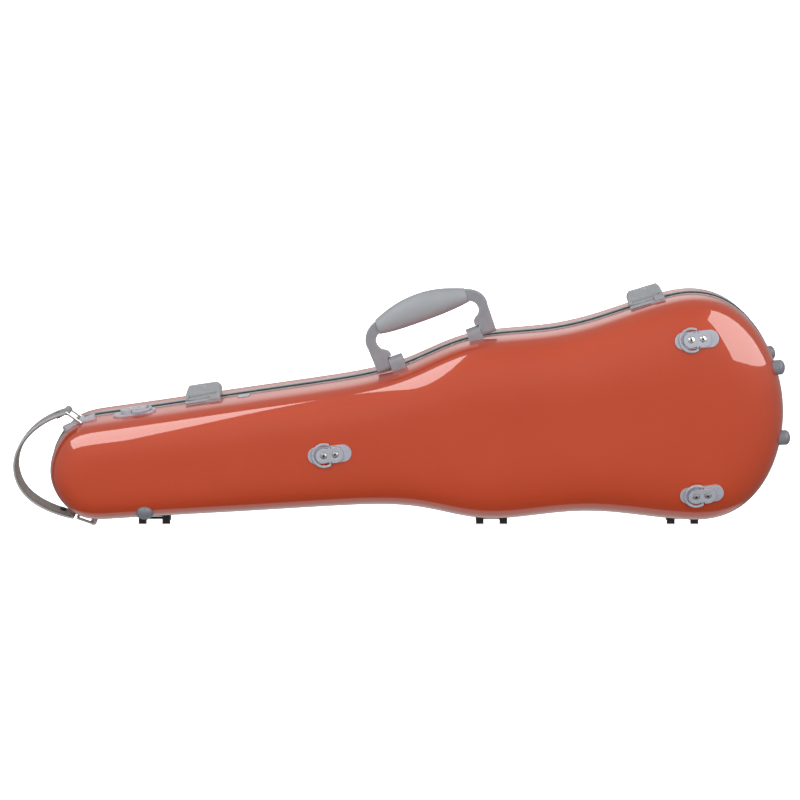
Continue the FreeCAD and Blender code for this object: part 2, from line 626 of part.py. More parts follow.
def make_strap():
    half = STRAP_THICK / 2
    leather = strap_layer(-half + WEBBING_THICK, half, STRAP_WIDTH)
    webbing = strap_layer(-half, -half + WEBBING_THICK, STRAP_WIDTH - 3)
    rings = []
    for name, (root, tip) in STRAP_RINGS.items():
        loop = wire_loop(root, tip, STRAP_WIDTH - 4, STRAP_RING_R)
        parts[f"strap_ring_{name}"] = loop.cut([OUTER, prism(BASE_RIM_PROUD + 0.1, *BASE_RIM)])
        side = STRAP_WIDTH / 2 - 4.5
        eye_ends = [Vector(tip[0], STRAP_Y + end, tip[1]) for end in (-side, side)]
        eye = rod(*eye_ends, STRAP_RING_R + 2)
        leather = leather.fuse(eye)
        rings.append(loop)
    for root, (x, z) in STRAP_RINGS.values():
        webbing = webbing.cut(rod(Vector(x, -FAR, z), Vector(x, FAR, z), STRAP_RING_R + 2))
    leather = leather.cut(rings + [webbing, OUTER]).removeSplitter()
    parts["strap_leather"] = max(leather.Solids, key=lambda solid: solid.Volume)
    parts["strap_webbing"] = webbing.cut(OUTER)
    studs = []
    for (x0, z0), (x1, z1) in ((STRAP_PATH[0], STRAP_PATH[1]), (STRAP_PATH[-1], STRAP_PATH[-2])):
        share = 0.42
        centre = Vector(x0 + (x1 - x0) * share, STRAP_Y, z0 + (z1 - z0) * share)
        along = Vector(x1 - x0, 0, z1 - z0).normalize()
        out = Vector(along.z, 0, -along.x)
        stud = rod(centre - out * 3.2, centre + out * 3.2, 3.2)
        studs.append(stud.cut([parts["strap_leather"], parts["strap_webbing"]]))
    parts["strap_studs"] = Part.makeCompound([s for stud in studs for s in stud.Solids])
    for name, (side, station, ends) in STRAP_PLATES.items():
        (x, z), tip = STRAP_RINGS[name]
        plate = placed(stadium(*ends, 6.0, -3, 2.6), wall_frame(station, STRAP_Y, side))
        saddle = rod(Vector(x, STRAP_Y - 7, z), Vector(x, STRAP_Y + 7, z), STRAP_RING_R + 1.8)
        fixed = [OUTER, parts[f"strap_ring_{name}"], parts["strap_leather"], parts["strap_webbing"]]
        parts[f"strap_plate_{name}"] = plate.fuse(saddle).cut(fixed)


# ---- feet and badge ----
def foot(frame, radius, sink):
    """Soft dome, sunk a little so that it seats on the curved shell."""
    dome_height = 0.62 * radius
    barrel = Part.makeCylinder(radius, FOOT_HEIGHT - dome_height + sink, Vector(0, 0, -sink))
    dome = Part.makeSphere(radius, Vector(0, 0, 0))
    squash = FreeCAD.Matrix()
    squash.scale(1, 1, dome_height / radius)
    dome = dome.transformGeometry(squash)
    dome.translate(Vector(0, 0, FOOT_HEIGHT - dome_height))
    return placed(barrel.fuse(dome), frame).cut(OUTER)


def make_feet():
    for half_name, side in (("base", -1), ("lid", 1)):
        ends = []
        for across in (-END_FOOT_ACROSS, END_FOOT_ACROSS):
            start = CASE.multVec(Vector(END_FOOT_X, side * END_FOOT_Y, across))
            out = CASE.Rotation.multVec(Vector(1, side * 0.18, 0))
            ends.append(foot(Placement(start, Rotation(Vector(0, 0, 1), out)), END_FOOT_R, 12))
        parts[f"end_feet_{half_name}"] = Part.makeCompound(ends)
        start = CASE.multVec(Vector(NECK_FOOT[0], side * NECK_FOOT[1], NECK_FOOT[2]))
        out = CASE.Rotation.multVec(Vector(0, side * 0.72, -0.69))
        frame = Placement(start, Rotation(Vector(0, 0, 1), out))
        parts[f"neck_foot_{half_name}"] = foot(frame, NECK_FOOT_R, 8)


def make_badge():
    frame = wall_frame(BADGE_STATION, -16.0)
    plate = rounded_box(-7, 7, -5, 5, -2, 1.2, 4.5, 0.5)
    parts["badge"] = placed(plate, frame).cut(OUTER)


make_shells()
make_base_lining()
make_lid_lining()
make_bow_spinners()
make_hinges()
for latch_number in (1, 2):
    make_latch(latch_number)
make_handle()
make_ring_fittings()
make_strap()
make_feet()
make_badge()

# The origin goes to the middle of the bounding box's bottom.
whole = FreeCAD.BoundBox()
for shape in parts.values():
    whole.add(shape.optimalBoundingBox(False))
SHIFT = Vector(-whole.Center.x, -whole.Center.y, -whole.ZMin)

os.makedirs("parts", exist_ok=True)
for name, shape in parts.items():
    moved = shape.copy()
    moved.translate(SHIFT)
    moved.exportStep(f"parts/{name}.step")
print(len(parts), "parts", "shift", SHIFT)
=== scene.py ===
import json
import math

import bmesh
import bpy
import numpy as np
from mathutils import Matrix, Vector


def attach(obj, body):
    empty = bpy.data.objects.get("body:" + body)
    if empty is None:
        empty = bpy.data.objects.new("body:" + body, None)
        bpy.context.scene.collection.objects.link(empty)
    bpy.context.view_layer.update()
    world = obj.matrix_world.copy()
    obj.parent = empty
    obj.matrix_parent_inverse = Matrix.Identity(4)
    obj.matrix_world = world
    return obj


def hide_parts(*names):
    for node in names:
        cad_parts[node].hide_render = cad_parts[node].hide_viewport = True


# Looks of a shaped violin case: gloss shells, grey fittings, leather hand strap and plush inside.
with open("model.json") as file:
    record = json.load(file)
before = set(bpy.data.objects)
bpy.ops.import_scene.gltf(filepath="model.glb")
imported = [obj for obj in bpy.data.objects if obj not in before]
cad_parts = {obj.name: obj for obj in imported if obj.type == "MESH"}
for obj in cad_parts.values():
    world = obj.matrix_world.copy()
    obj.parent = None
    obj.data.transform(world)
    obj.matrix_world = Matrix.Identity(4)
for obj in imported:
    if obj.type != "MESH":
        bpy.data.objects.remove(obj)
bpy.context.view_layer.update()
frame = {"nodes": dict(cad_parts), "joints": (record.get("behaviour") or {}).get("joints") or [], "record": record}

MM = 0.001

# ---- the case's own frame: x from the neck tip along its axis, z across it, y from base to lid ----
HINGE = Vector(next(j for j in frame["joints"] if j["name"] == "lid_hinge")["pos_m"])
AXIS_TILT = math.radians(5.9)
NECK_TIP = HINGE + Vector((-375.4, 0, 56.4)) * MM
CASE = Matrix.Translation(NECK_TIP) @ Matrix.Rotation(-AXIS_TILT, 4, "Y")

# ---- shell, as in the CAD model, in mm ----
CASE_LENGTH = 788.5
BASE_DEPTH = 72.0
LID_DEPTH = 68.0
WALL = 2.4
CROWN = 4.0
BULGE = 0.013
SPINE = (57.0, 668.0)
BASE_EDGE = 6.0
LID_EDGE = 5.0
HALF_OUTLINE = [
    (0, 0), (6, 24), (27, 47), (64, 53.8), (133, 56.7), (214, 60.5), (300, 64.2), (350, 67.7),
    (392, 75.3), (426, 86.3), (460, 95.2), (500, 97.4), (552, 97.2), (592, 101.7), (637, 111.5),
    (672, 118.6), (703, 120.7), (734, 111.4), (763.5, 84), (782.5, 43), (CASE_LENGTH, 0),
]
SHELL_COLUMNS = 480            # points round one shell
SHELL_ROWS = 56                # points from its rim to its crown
CREASE = math.radians(50)      # edges sharper than this keep a hard line

# ---- hand strap, as in the CAD model, in mm; its path is drawn from the floor under the middle hinge ----
HINGE_HEIGHT = 4.5             # of the hinge line above that floor
STRAP_Y = -19.0
STRAP_WIDTH = 28.0
STRAP_PATH = [
    (-357.5, 127.8), (-381.0, 118.2), (-404.8, 96.5), (-414.2, 70.5), (-406.5, 43.0),
    (-384.0, 24.2), (-352.0, 13.2),
]
STITCH_ROW = 11.2              # from the strap's middle to its stitches
STITCH_PITCH = 3.6

# ---- lining ----
QUILT_PITCH = 88.0
QUILT_SEAM = 1.2
RELAX = 0.6                    # share of the way to its neighbours that a point moves in one round
LID_RIM_LEVEL = 14.0           # the lid's lining has no channels nearer to the rim than this

# ---- studio lights: corners in metres, counter-clockwise seen from the lit side, and radiance ----
HIGHLIGHTS = (
    ("box_left", [(-0.48, 0.35, 2.0), (-0.95, -2.50, 2.0), (-3.12, -2.13, 2.0)], 3.7),
    ("box_right", [(1.5, 0.05, 0.4), (1.5, -2.3, 0.4), (1.5, -2.3, 3.2)], 3.5),
)
FILLS = (
    ("front_fill", [(-2.2, -3.0, 0.3), (-2.2, -3.0, 3.1), (2.2, -3.0, 3.1)], 2.05),
    ("back_fill", [(2.2, 3.0, 0.3), (2.2, 3.0, 3.1), (-2.2, 3.0, 3.1)], 1.4),
    ("backdrop_light", [(8.0, 8.0, 4.0), (-8.0, 8.0, 4.0), (-8.0, 20.0, 4.0)], 2.4),
)
# soft bright patches of the surroundings: direction, brightness, and the cosines where one begins and is full
SKY_PATCHES = (
    ((0.0, 0.45, -0.89), 0.6, 0.84, 0.89),
    ((0.0, 0.92, 0.38), 0.60, 0.93, 0.99),
)


# ---- camera ----
def make_camera():
    """Level view of the base, from a little above, with a long lens."""
    elevation = math.radians(12.3)
    distance = 2.9
    focal_share = 3.3533          # focal length over the width of the picture
    target = Vector((HINGE.x, HINGE.y, 0.136))
    forward = Vector((0, math.cos(elevation), -math.sin(elevation)))
    data = bpy.data.cameras.new("camera")
    data.sensor_width = 36.0
    data.lens = focal_share * data.sensor_width
    camera = bpy.data.objects.new("camera", data)
    camera.location = target - forward * distance
    camera.rotation_euler = forward.to_track_quat("-Z", "Y").to_euler()
    bpy.context.scene.collection.objects.link(camera)
    bpy.context.scene.camera = camera


# ---- mesh helpers ----
def add_object(name, mesh, material=None, smooth=True):
    obj = bpy.data.objects.new(name, mesh)
    bpy.context.scene.collection.objects.link(obj)
    if smooth:
        mesh.polygons.foreach_set("use_smooth", [True] * len(mesh.polygons))
    if material:
        mesh.materials.append(material)
    return obj


def mesh_from(vertices, faces, name):
    mesh = bpy.data.meshes.new(name)
    mesh.from_pydata([tuple(v) for v in vertices], [], faces)
    mesh.update()
    return mesh


def periodic_spline(points, knots):
    """Closed cubic spline through the points: returns its place and direction at any knots."""
    points = np.array(points, float)
    count = len(points)
    h = np.diff(knots)
    system = np.zeros((count, count))
    right = np.zeros((count, points.shape[1]))
    for i in range(count):
        before, after = h[i - 1], h[i]
        system[i, i - 1] += before
        system[i, i] += 2 * (before + after)
        system[i, (i + 1) % count] += after
        step = (points[(i + 1) % count] - points[i]) / after - (points[i] - points[i - 1]) / before
        right[i] = 6 * step
    bend = np.linalg.solve(system, right)

    def evaluate(at):
        at = np.asarray(at, float)
        i = np.clip(np.searchsorted(knots, at, side="right") - 1, 0, count - 1)
        j = (i + 1) % count
        width = h[i][:, None]
        a = (np.asarray(knots)[i + 1] - at)[:, None] / width
        b = 1 - a
        place = (a * points[i] + b * points[j]
                 + ((a ** 3 - a) * bend[i] + (b ** 3 - b) * bend[j]) * width ** 2 / 6)
        along = ((points[j] - points[i]) / width
                 + ((3 * b ** 2 - 1) * bend[j] - (3 * a ** 2 - 1) * bend[i]) * width / 6)
        return place, along

    return evaluate


def seam_outline(columns, offset=0.0):
    """Evenly spaced points round the seam, in the case frame, grown by an offset."""
    half = HALF_OUTLINE
    loop = half + [(x, -z) for x, z in reversed(half[1:-1])] + half[:1]
    knots = np.concatenate([[0], np.cumsum(np.hypot(*np.diff(np.array(loop, float), axis=0).T))])
    spline = periodic_spline(loop[:-1], knots)
    fine = np.linspace(0, knots[-1], 4001)
    place, _ = spline(np.clip(fine, 0, knots[-1] - 1e-9))
    length = np.concatenate([[0], np.cumsum(np.hypot(*np.diff(place, axis=0).T))])
    even = np.interp(np.arange(columns) / columns * length[-1], length, fine)
    place, along = spline(even)
    along /= np.linalg.norm(along, axis=1)[:, None]
    return place + np.stack([-along[:, 1], along[:, 0]], 1) * offset


def crown_rows(rows, start, depth):
    """Shares of the width and levels along y, evenly spaced on a middling section from rim to crown."""
    half_width = 100.0
    turn = np.linspace(0, math.pi / 2, 2001)
    pull, level = np.cos(turn) ** (2 / CROWN), np.sin(turn) ** (2 / CROWN)
    pull = pull + BULGE * np.sin(math.pi * level)
    length = np.concatenate([[0], np.cumsum(np.hypot(np.diff(pull * half_width), np.diff(level * depth)))])
    first = np.interp(start / depth, level, length)
    at = np.linspace(first, length[-1], rows)
    return np.interp(at, length, pull), np.interp(at, length, level) * depth


def shell_layer(columns, rows, side, offset, start):
    """Grid of points over one half of the case, from the rim inwards to the spine."""
    edge = seam_outline(columns, offset)
    depth = (LID_DEPTH if side > 0 else BASE_DEPTH) + offset
    pull, level = crown_rows(rows, start, depth)
    pull[-1] = 0.0
    spine = np.stack([np.clip(edge[:, 0], *SPINE), np.zeros(columns)], 1)
    layer = []
    for share, y in zip(pull, level):
        flat = spine + (edge - spine) * share
        layer.append(np.stack([flat[:, 0], np.full(columns, side * y), flat[:, 1]], 1))
    return layer


def make_shell(name, side, start, material):
    """One half of the case with its wall's thickness, open at the rim and within it."""
    columns = SHELL_COLUMNS
    outer = shell_layer(columns, SHELL_ROWS, side, 0.0, start)
    inner = shell_layer(columns, SHELL_ROWS // 2, side, -WALL, start)
    layers = list(reversed(inner)) + outer
    vertices = np.concatenate(layers) * MM
    faces = []
    for r in range(len(layers) - 1):
        for c in range(columns):
            n = (c + 1) % columns
            quad = (r * columns + c, r * columns + n, (r + 1) * columns + n, (r + 1) * columns + c)
            faces.append(quad if side > 0 else quad[::-1])
    mesh = mesh_from(vertices, faces, name)
    mesh.transform(CASE)
    work = bmesh.new()
    work.from_mesh(mesh)
    bmesh.ops.remove_doubles(work, verts=work.verts, dist=2e-6)
    bmesh.ops.dissolve_degenerate(work, edges=work.edges, dist=1e-7)
    bmesh.ops.recalc_face_normals(work, faces=work.faces)
    for edge in work.edges:
        if len(edge.link_faces) == 2 and edge.calc_face_angle(0) > CREASE:
            edge.smooth = False
    work.to_mesh(mesh)
    work.free()
    return add_object(name, mesh, material)


# ---- materials ----
def start_material(name):
    material = bpy.data.materials.new(name)
    material.use_nodes = True
    tree = material.node_tree
    return material, tree, tree.nodes["Principled BSDF"]


def node(tree, kind, **values):
    """New node; capitalised keys set its inputs and the others its properties."""
    made = tree.nodes.new("ShaderNode" + kind)
    for key, value in values.items():
        if key[0].isupper():
            made.inputs[key.replace("_", " ")].default_value = value
        else:
            setattr(made, key, value)
    return made


def noise(tree, scale, detail=2.0, rough=0.5):
    """Noise over the object's own coordinates, in features per metre."""
    made = node(tree, "TexNoise", Scale=scale, Detail=detail, Roughness=rough)
    tree.links.new(node(tree, "TexCoord").outputs["Object"], made.inputs["Vector"])
    return made.outputs["Fac"]


def remap(tree, value, low, high, start=0.3, end=0.7):
    made = node(tree, "MapRange", From_Min=start, From_Max=end, To_Min=low, To_Max=high)
    tree.links.new(value, made.inputs["Value"])
    return made.outputs["Result"]


def mix_colour(tree, factor, first, second):
    made = tree.nodes.new("ShaderNodeMix")
    made.data_type = "RGBA"
    tree.links.new(factor, made.inputs["Factor"])
    for socket, value in ((made.inputs[6], first), (made.inputs[7], second)):
        if isinstance(value, tuple):
            socket.default_value = (*value, 1.0)
        else:
            tree.links.new(value, socket)
    return made.outputs[2]


def bump(tree, height, distance, strength=1.0, normal=None):
    made = node(tree, "Bump", Strength=strength, Distance=distance)
    tree.links.new(height, made.inputs["Height"])
    if normal:
        tree.links.new(normal, made.inputs["Normal"])
    return made.outputs["Normal"]


def rounded_normal(tree, radius):
    """Softens the shading over hard edges, as a cast or moulded edge does."""
    made = tree.nodes.new("ShaderNodeBevel")
    made.samples = 6
    made.inputs["Radius"].default_value = radius
    return made.outputs["Normal"]


def edge_wear(tree):
    """0 on flats to 1 on sharp edges."""
    shape = tree.nodes.new("ShaderNodeNewGeometry")
    dot = node(tree, "VectorMath", operation="DOT_PRODUCT")
    tree.links.new(shape.outputs["Normal"], dot.inputs[0])
    tree.links.new(rounded_normal(tree, 0.0012), dot.inputs[1])
    return remap(tree, dot.outputs["Value"], 1.0, 0.0, 0.75, 0.99)


def lacquer(name):
    """Gloss paint under a clear coat, with faint orange peel."""
    material, tree, bsdf = start_material(name)
    tone = remap(tree, noise(tree, 9.0, 2), 0.0, 1.0)
    colour = mix_colour(tree, tone, (0.635, 0.063, 0.0115), (0.665, 0.069, 0.0135))
    tree.links.new(colour, bsdf.inputs["Base Color"])
    smudge = remap(tree, noise(tree, 28.0, 5, 0.65), 0.30, 0.38)
    tree.links.new(smudge, bsdf.inputs["Roughness"])
    bsdf.inputs["Coat Weight"].default_value = 1.0
    bsdf.inputs["Coat IOR"].default_value = 1.8
    bsdf.inputs["Coat Roughness"].default_value = 0.03
    bsdf.inputs["Specular IOR Level"].default_value = 0.1
    peel = noise(tree, 260.0, 1)
    tree.links.new(bump(tree, peel, 0.00002, 0.25), bsdf.inputs["Coat Normal"])
    return material


def painted_recess_shade(tree, colour, reach, dark=0.25):
    """The colour, darkened in small recesses by ambient occlusion: painted shade."""
    # painted shade: ambient occlusion darkens the colour in recesses
    hollow = node(tree, "AmbientOcclusion", samples=8)
    hollow.only_local = True
    hollow.inputs["Distance"].default_value = reach
    open_share = remap(tree, hollow.outputs["AO"], dark, 1.0, 0.25, 0.85)
    made = node(tree, "VectorMath", operation="SCALE")
    tree.links.new(colour, made.inputs[0])
    tree.links.new(open_share, made.inputs["Scale"])
    return made.outputs["Vector"]


def cast_metal(name, colour, rough, metallic=0.0, grain=0.00004, radius=0.0006):
    """Painted casting or moulding: fine grain, paler worn edges, and painted shade that darkens its recesses."""
    material, tree, bsdf = start_material(name)
    pale = tuple(min(1.0, c * 1.35 + 0.03) for c in colour)
    dark = tuple(c * 0.86 for c in colour)
    base = mix_colour(tree, remap(tree, noise(tree, 140.0, 4, 0.6), 0, 1), dark, colour)
    worn = mix_colour(tree, edge_wear(tree), base, pale)
    # painted shade: the base colour is darkened in recesses
    tree.links.new(painted_recess_shade(tree, worn, 0.0012), bsdf.inputs["Base Color"])
    gloss = remap(tree, noise(tree, 320.0, 4), rough - 0.06, rough + 0.06)
    tree.links.new(gloss, bsdf.inputs["Roughness"])
    bsdf.inputs["Metallic"].default_value = metallic
    normal = bump(tree, noise(tree, 1500.0, 3), grain, 0.6, rounded_normal(tree, radius))
    tree.links.new(normal, bsdf.inputs["Normal"])
    return material


def rubber(name, colour, rough):
    material, tree, bsdf = start_material(name)
    dusty = tuple(c * 1.06 + 0.002 for c in colour)
    base = mix_colour(tree, remap(tree, noise(tree, 60.0, 5, 0.6), 0, 1, 0.35, 0.75), colour, dusty)
    tree.links.new(base, bsdf.inputs["Base Color"])
    tree.links.new(remap(tree, noise(tree, 400.0, 3), rough - 0.05, rough + 0.08), bsdf.inputs["Roughness"])
    bsdf.inputs["Specular IOR Level"].default_value = 0.4
    normal = bump(tree, noise(tree, 2200.0, 2), 0.00003, 0.5, rounded_normal(tree, 0.0005))
    tree.links.new(normal, bsdf.inputs["Normal"])
    return material


def polished(name, colour):
    """Bright metal, lightly brushed, with painted shade in its recesses."""
    material, tree, bsdf = start_material(name)
    brushed = noise(tree, 700.0, 3, 0.6)
    shine = mix_colour(tree, remap(tree, brushed, 0, 1), colour, tuple(c * 0.9 for c in colour))
    # painted shade: the shine is darkened almost to black in recesses
    tree.links.new(painted_recess_shade(tree, shine, 0.0025, 0.02), bsdf.inputs["Base Color"])
    tree.links.new(remap(tree, brushed, 0.22, 0.34), bsdf.inputs["Roughness"])
    bsdf.inputs["Metallic"].default_value = 1.0
    tree.links.new(rounded_normal(tree, 0.0003), bsdf.inputs["Normal"])
    return material


def plush(name, colour):
    """Short pile over foam."""
    material, tree, bsdf = start_material(name)
    pile = noise(tree, 1800.0, 4, 0.7)
    patches = noise(tree, 35.0, 3)
    light = tuple(c * 1.7 + 0.01 for c in colour)
    base = mix_colour(tree, remap(tree, patches, 0.1, 0.55), colour, light)
    shade = mix_colour(tree, remap(tree, pile, 0, 1), tuple(c * 0.55 for c in colour), base)
    tree.links.new(shade, bsdf.inputs["Base Color"])
    bsdf.inputs["Roughness"].default_value = 0.95
    bsdf.inputs["Sheen Weight"].default_value = 0.6
    bsdf.inputs["Sheen Roughness"].default_value = 0.4
    tree.links.new(bump(tree, pile, 0.0006, 0.9), bsdf.inputs["Normal"])
    return material


def attribute(tree, name):
    return node(tree, "Attribute", attribute_name=name).outputs["Fac"]


def math_node(tree, operation, *values):
    made = node(tree, "Math", operation=operation)
    for socket, value in zip(made.inputs, values):
        if isinstance(value, (int, float)):
            socket.default_value = value
        else:
            tree.links.new(value, socket)
    return made.outputs[0]


def band_mask(tree, value, middle, half, soft):
    """1 within half of the middle, falling to 0 over the soft width."""
    off = math_node(tree, "ABSOLUTE", math_node(tree, "SUBTRACT", value, middle))
    return remap(tree, off, 1.0, 0.0, half - soft, half + soft)


def woven(name, colour, rib=2.2, along=None):
    """Ribbed webbing with fine threads and painted shade in the grooves between its ribs: the ribs, a pitch in mm,
    follow an attribute or else the x axis.
    """
    material, tree, bsdf = start_material(name)
    if along:
        where = attribute(tree, along)
    else:
        split = node(tree, "SeparateXYZ")
        tree.links.new(node(tree, "TexCoord").outputs["Object"], split.inputs["Vector"])
        where = math_node(tree, "MULTIPLY", split.outputs["X"], 1 / MM)
    ribs = math_node(tree, "SINE", math_node(tree, "MULTIPLY", where, 2 * math.pi / rib))
    ribs = remap(tree, ribs, 0.0, 1.0, -1.0, 1.0)
    thread = noise(tree, 2600.0, 3)
    # painted shade: darker in the grooves between the ribs
    base = mix_colour(tree, ribs, tuple(c * 0.6 for c in colour), colour)
    shade = mix_colour(tree, remap(tree, thread, 0, 0.5), base, tuple(c * 1.3 for c in colour))
    tree.links.new(shade, bsdf.inputs["Base Color"])
    bsdf.inputs["Roughness"].default_value = 0.85
    bsdf.inputs["Sheen Weight"].default_value = 0.25
    normal = bump(tree, ribs, 0.0005, 0.9)
    tree.links.new(bump(tree, thread, 0.0002, 0.5, normal), bsdf.inputs["Normal"])
    return material


def leather(name, colour):
    """Fine-grained hide with a paler cut edge and a row of stitches beside it."""
    material, tree, bsdf = start_material(name)
    cells = node(tree, "TexVoronoi", Scale=900.0, feature="DISTANCE_TO_EDGE")
    tree.links.new(node(tree, "TexCoord").outputs["Object"], cells.inputs["Vector"])
    pebble = remap(tree, cells.outputs["Distance"], 0, 1, 0.0, 0.25)
    worn = tuple(c * 1.15 for c in colour)
    base = mix_colour(tree, remap(tree, noise(tree, 50.0, 4), 0, 1), colour, worn)
    shade = mix_colour(tree, pebble, tuple(c * 0.8 for c in colour), base)
    side = math_node(tree, "ABSOLUTE", attribute(tree, "across"))
    cut_edge = remap(tree, side, 0.0, 1.0, STRAP_WIDTH / 2 - 1.3, STRAP_WIDTH / 2 - 0.7)
    shade = mix_colour(tree, cut_edge, shade, tuple(min(1.0, c * 1.7) for c in colour))
    pitch = math_node(tree, "FRACT", math_node(tree, "DIVIDE", attribute(tree, "along"), STITCH_PITCH))
    stitch = math_node(tree, "MULTIPLY", band_mask(tree, side, STITCH_ROW, 0.45, 0.15),
                       band_mask(tree, pitch, 0.5, 0.36, 0.05))
    shade = mix_colour(tree, stitch, shade, (0.62, 0.62, 0.6))
    tree.links.new(shade, bsdf.inputs["Base Color"])
    tree.links.new(remap(tree, noise(tree, 300.0, 3), 0.5, 0.65), bsdf.inputs["Roughness"])
    channel = band_mask(tree, side, STITCH_ROW, 0.9, 0.4)
    normal = bump(tree, pebble, 0.00012, 0.6)
    normal = bump(tree, math_node(tree, "MULTIPLY", channel, -1.0), 0.0004, 0.8, normal)
    tree.links.new(bump(tree, stitch, 0.0004, 0.9, normal), bsdf.inputs["Normal"])
    return material


# material slot: how it is made, its colour and its settings
LOOKS = {
    "shell_lacquer": (lacquer,),
    "rim_metal": (cast_metal, (0.46, 0.465, 0.47), 0.40, 0.3, 0.00002, 0.0005),
    "gasket_rubber": (rubber, (0.012, 0.018, 0.026), 0.45),
    "lining_plush": (plush, (0.10, 0.105, 0.12)),
    "lining_tape": (woven, (0.05, 0.052, 0.06)),
    "hinge_black": (cast_metal, (0.022, 0.022, 0.025), 0.42),
    "latch_zinc": (cast_metal, (0.42, 0.43, 0.455), 0.46),
    "fitting_zinc": (cast_metal, (0.54, 0.55, 0.62), 0.40),
    "bright_steel": (polished, (0.86, 0.86, 0.87)),
    "grip_soft": (rubber, (0.39, 0.41, 0.435), 0.5),
    "handle_plastic": (cast_metal, (0.335, 0.345, 0.375), 0.5),
    "foot_rubber": (rubber, (0.24, 0.25, 0.29), 0.4),
    "strap_hide": (leather, (0.30, 0.30, 0.30)),
    "strap_weave": (woven, (0.30, 0.275, 0.25), 1.7, "along"),
    "stud_black": (cast_metal, (0.02, 0.02, 0.02), 0.35),
    "spinner_plastic": (cast_metal, (0.025, 0.025, 0.03), 0.4),
}
MATERIALS = {slot: make(slot, *settings) for slot, (make, *settings) in LOOKS.items()}


def dress_cad_nodes():
    """Each carried-over node gets the full material of its slot."""
    slots = {row["node"]: row["material_slot"] for row in frame["record"]["subparts"]}
    for name, obj in frame["nodes"].items():
        obj.data.materials.clear()
        obj.data.materials.append(MATERIALS[slots[name]])


# ---- stage ----
def floor_paper():
    """Near-white paper that glows a little, so that it stays even."""
    pale = 0.95
    material, tree, bsdf = start_material("floor_paper")
    shade = mix_colour(tree, remap(tree, noise(tree, 3.0, 2), 0, 1), (pale,) * 3, (pale * 0.985,) * 3)
    tree.links.new(shade, bsdf.inputs["Base Color"])
    bsdf.inputs["Roughness"].default_value = 0.6
    bsdf.inputs["Emission Color"].default_value = (1.0, 1.0, 1.0, 1.0)
    bsdf.inputs["Emission Strength"].default_value = 0.9
    return material


def make_stage():
    """Pale table top under the case and a step down behind it, which leaves room for the open lid."""
    far, edge, step = 40.0, HINGE.y - 6 * MM, -85 * MM
    profile = [(-far, 0.0), (edge, 0.0), (edge, step), (far, step)]
    corners = [(x, y, z) for y, z in profile for x in (-far, far)]
    faces = [(2 * i, 2 * i + 1, 2 * i + 3, 2 * i + 2) for i in range(3)]
    floor = mesh_from(corners, faces, "floor")
    floor = add_object("floor", floor, floor_paper(), smooth=False)
    floor.visible_glossy = False
    floor.visible_diffuse = False


def softbox(name, corners, radiance):
    """Rectangular light from three of its corners."""
    first, second, third = (Vector(c) for c in corners)
    wide, high = second - first, third - second
    facing = wide.cross(high).normalized()
    data = bpy.data.lights.new(name, "AREA")
    data.shape = "RECTANGLE"
    data.size, data.size_y = high.length, wide.length
    data.energy = radiance * math.pi * wide.length * high.length
    lamp = bpy.data.objects.new(name, data)
    turn = Matrix((high.normalized(), wide.normalized(), -facing)).transposed()
    lamp.matrix_world = Matrix.Translation((first + third) / 2) @ turn.to_4x4()
    bpy.context.scene.collection.objects.link(lamp)
    return lamp


def studio_world():
    """Dim surroundings, darkest below, with soft bright patches."""
    world = bpy.data.worlds.new("studio")
    world.use_nodes = True
    tree = world.node_tree
    toward = node(tree, "TexCoord").outputs["Generated"]
    split = node(tree, "SeparateXYZ")
    tree.links.new(toward, split.inputs["Vector"])
    glow = remap(tree, split.outputs["Z"], 0.12, 0.42, -0.9, 0.1)
    for middle, brightness, start, full in SKY_PATCHES:
        patch = node(tree, "VectorMath", operation="DOT_PRODUCT")
        patch.inputs[1].default_value = middle
        tree.links.new(toward, patch.inputs[0])
        shine = remap(tree, patch.outputs["Value"], 0.0, brightness, start, full)
        glow = math_node(tree, "ADD", glow, shine)
    sky = tree.nodes["Background"]
    tree.links.new(glow, sky.inputs["Strength"])
    sky.inputs["Color"].default_value = (1.0, 1.0, 1.0, 1.0)
    bpy.context.scene.world = world


def make_lights():
    """Boxes seen only as highlights, and even light from the front and from behind that isn't mirrored."""
    for light in HIGHLIGHTS:
        softbox(*light).visible_diffuse = False
    for light in FILLS:
        fill = softbox(*light)
        fill.visible_glossy = False
        fill.visible_camera = False
    studio_world()
    bpy.context.scene.view_settings.view_transform = "Standard"


# ---- soft pieces ----
def vertex_places(mesh):
    place = np.empty(len(mesh.vertices) * 3)
    mesh.vertices.foreach_get("co", place)
    return place.reshape(-1, 3)


def evened_mesh(solid, name, voxel):
    """The solid's mesh in the world, rebuilt from even cells of voxel mm."""
    source = frame["nodes"][solid]
    mesh = source.data.copy()
    mesh.transform(source.matrix_world)
    plain = add_object(name + "_plain", mesh, smooth=False)
    even = plain.modifiers.new("even", "REMESH")
    even.mode = "VOXEL"
    even.voxel_size = voxel * MM
    graph = bpy.context.evaluated_depsgraph_get()
    mesh = bpy.data.meshes.new_from_object(plain.evaluated_get(graph))
    bpy.data.objects.remove(plain)
    mesh.name = name
    return mesh


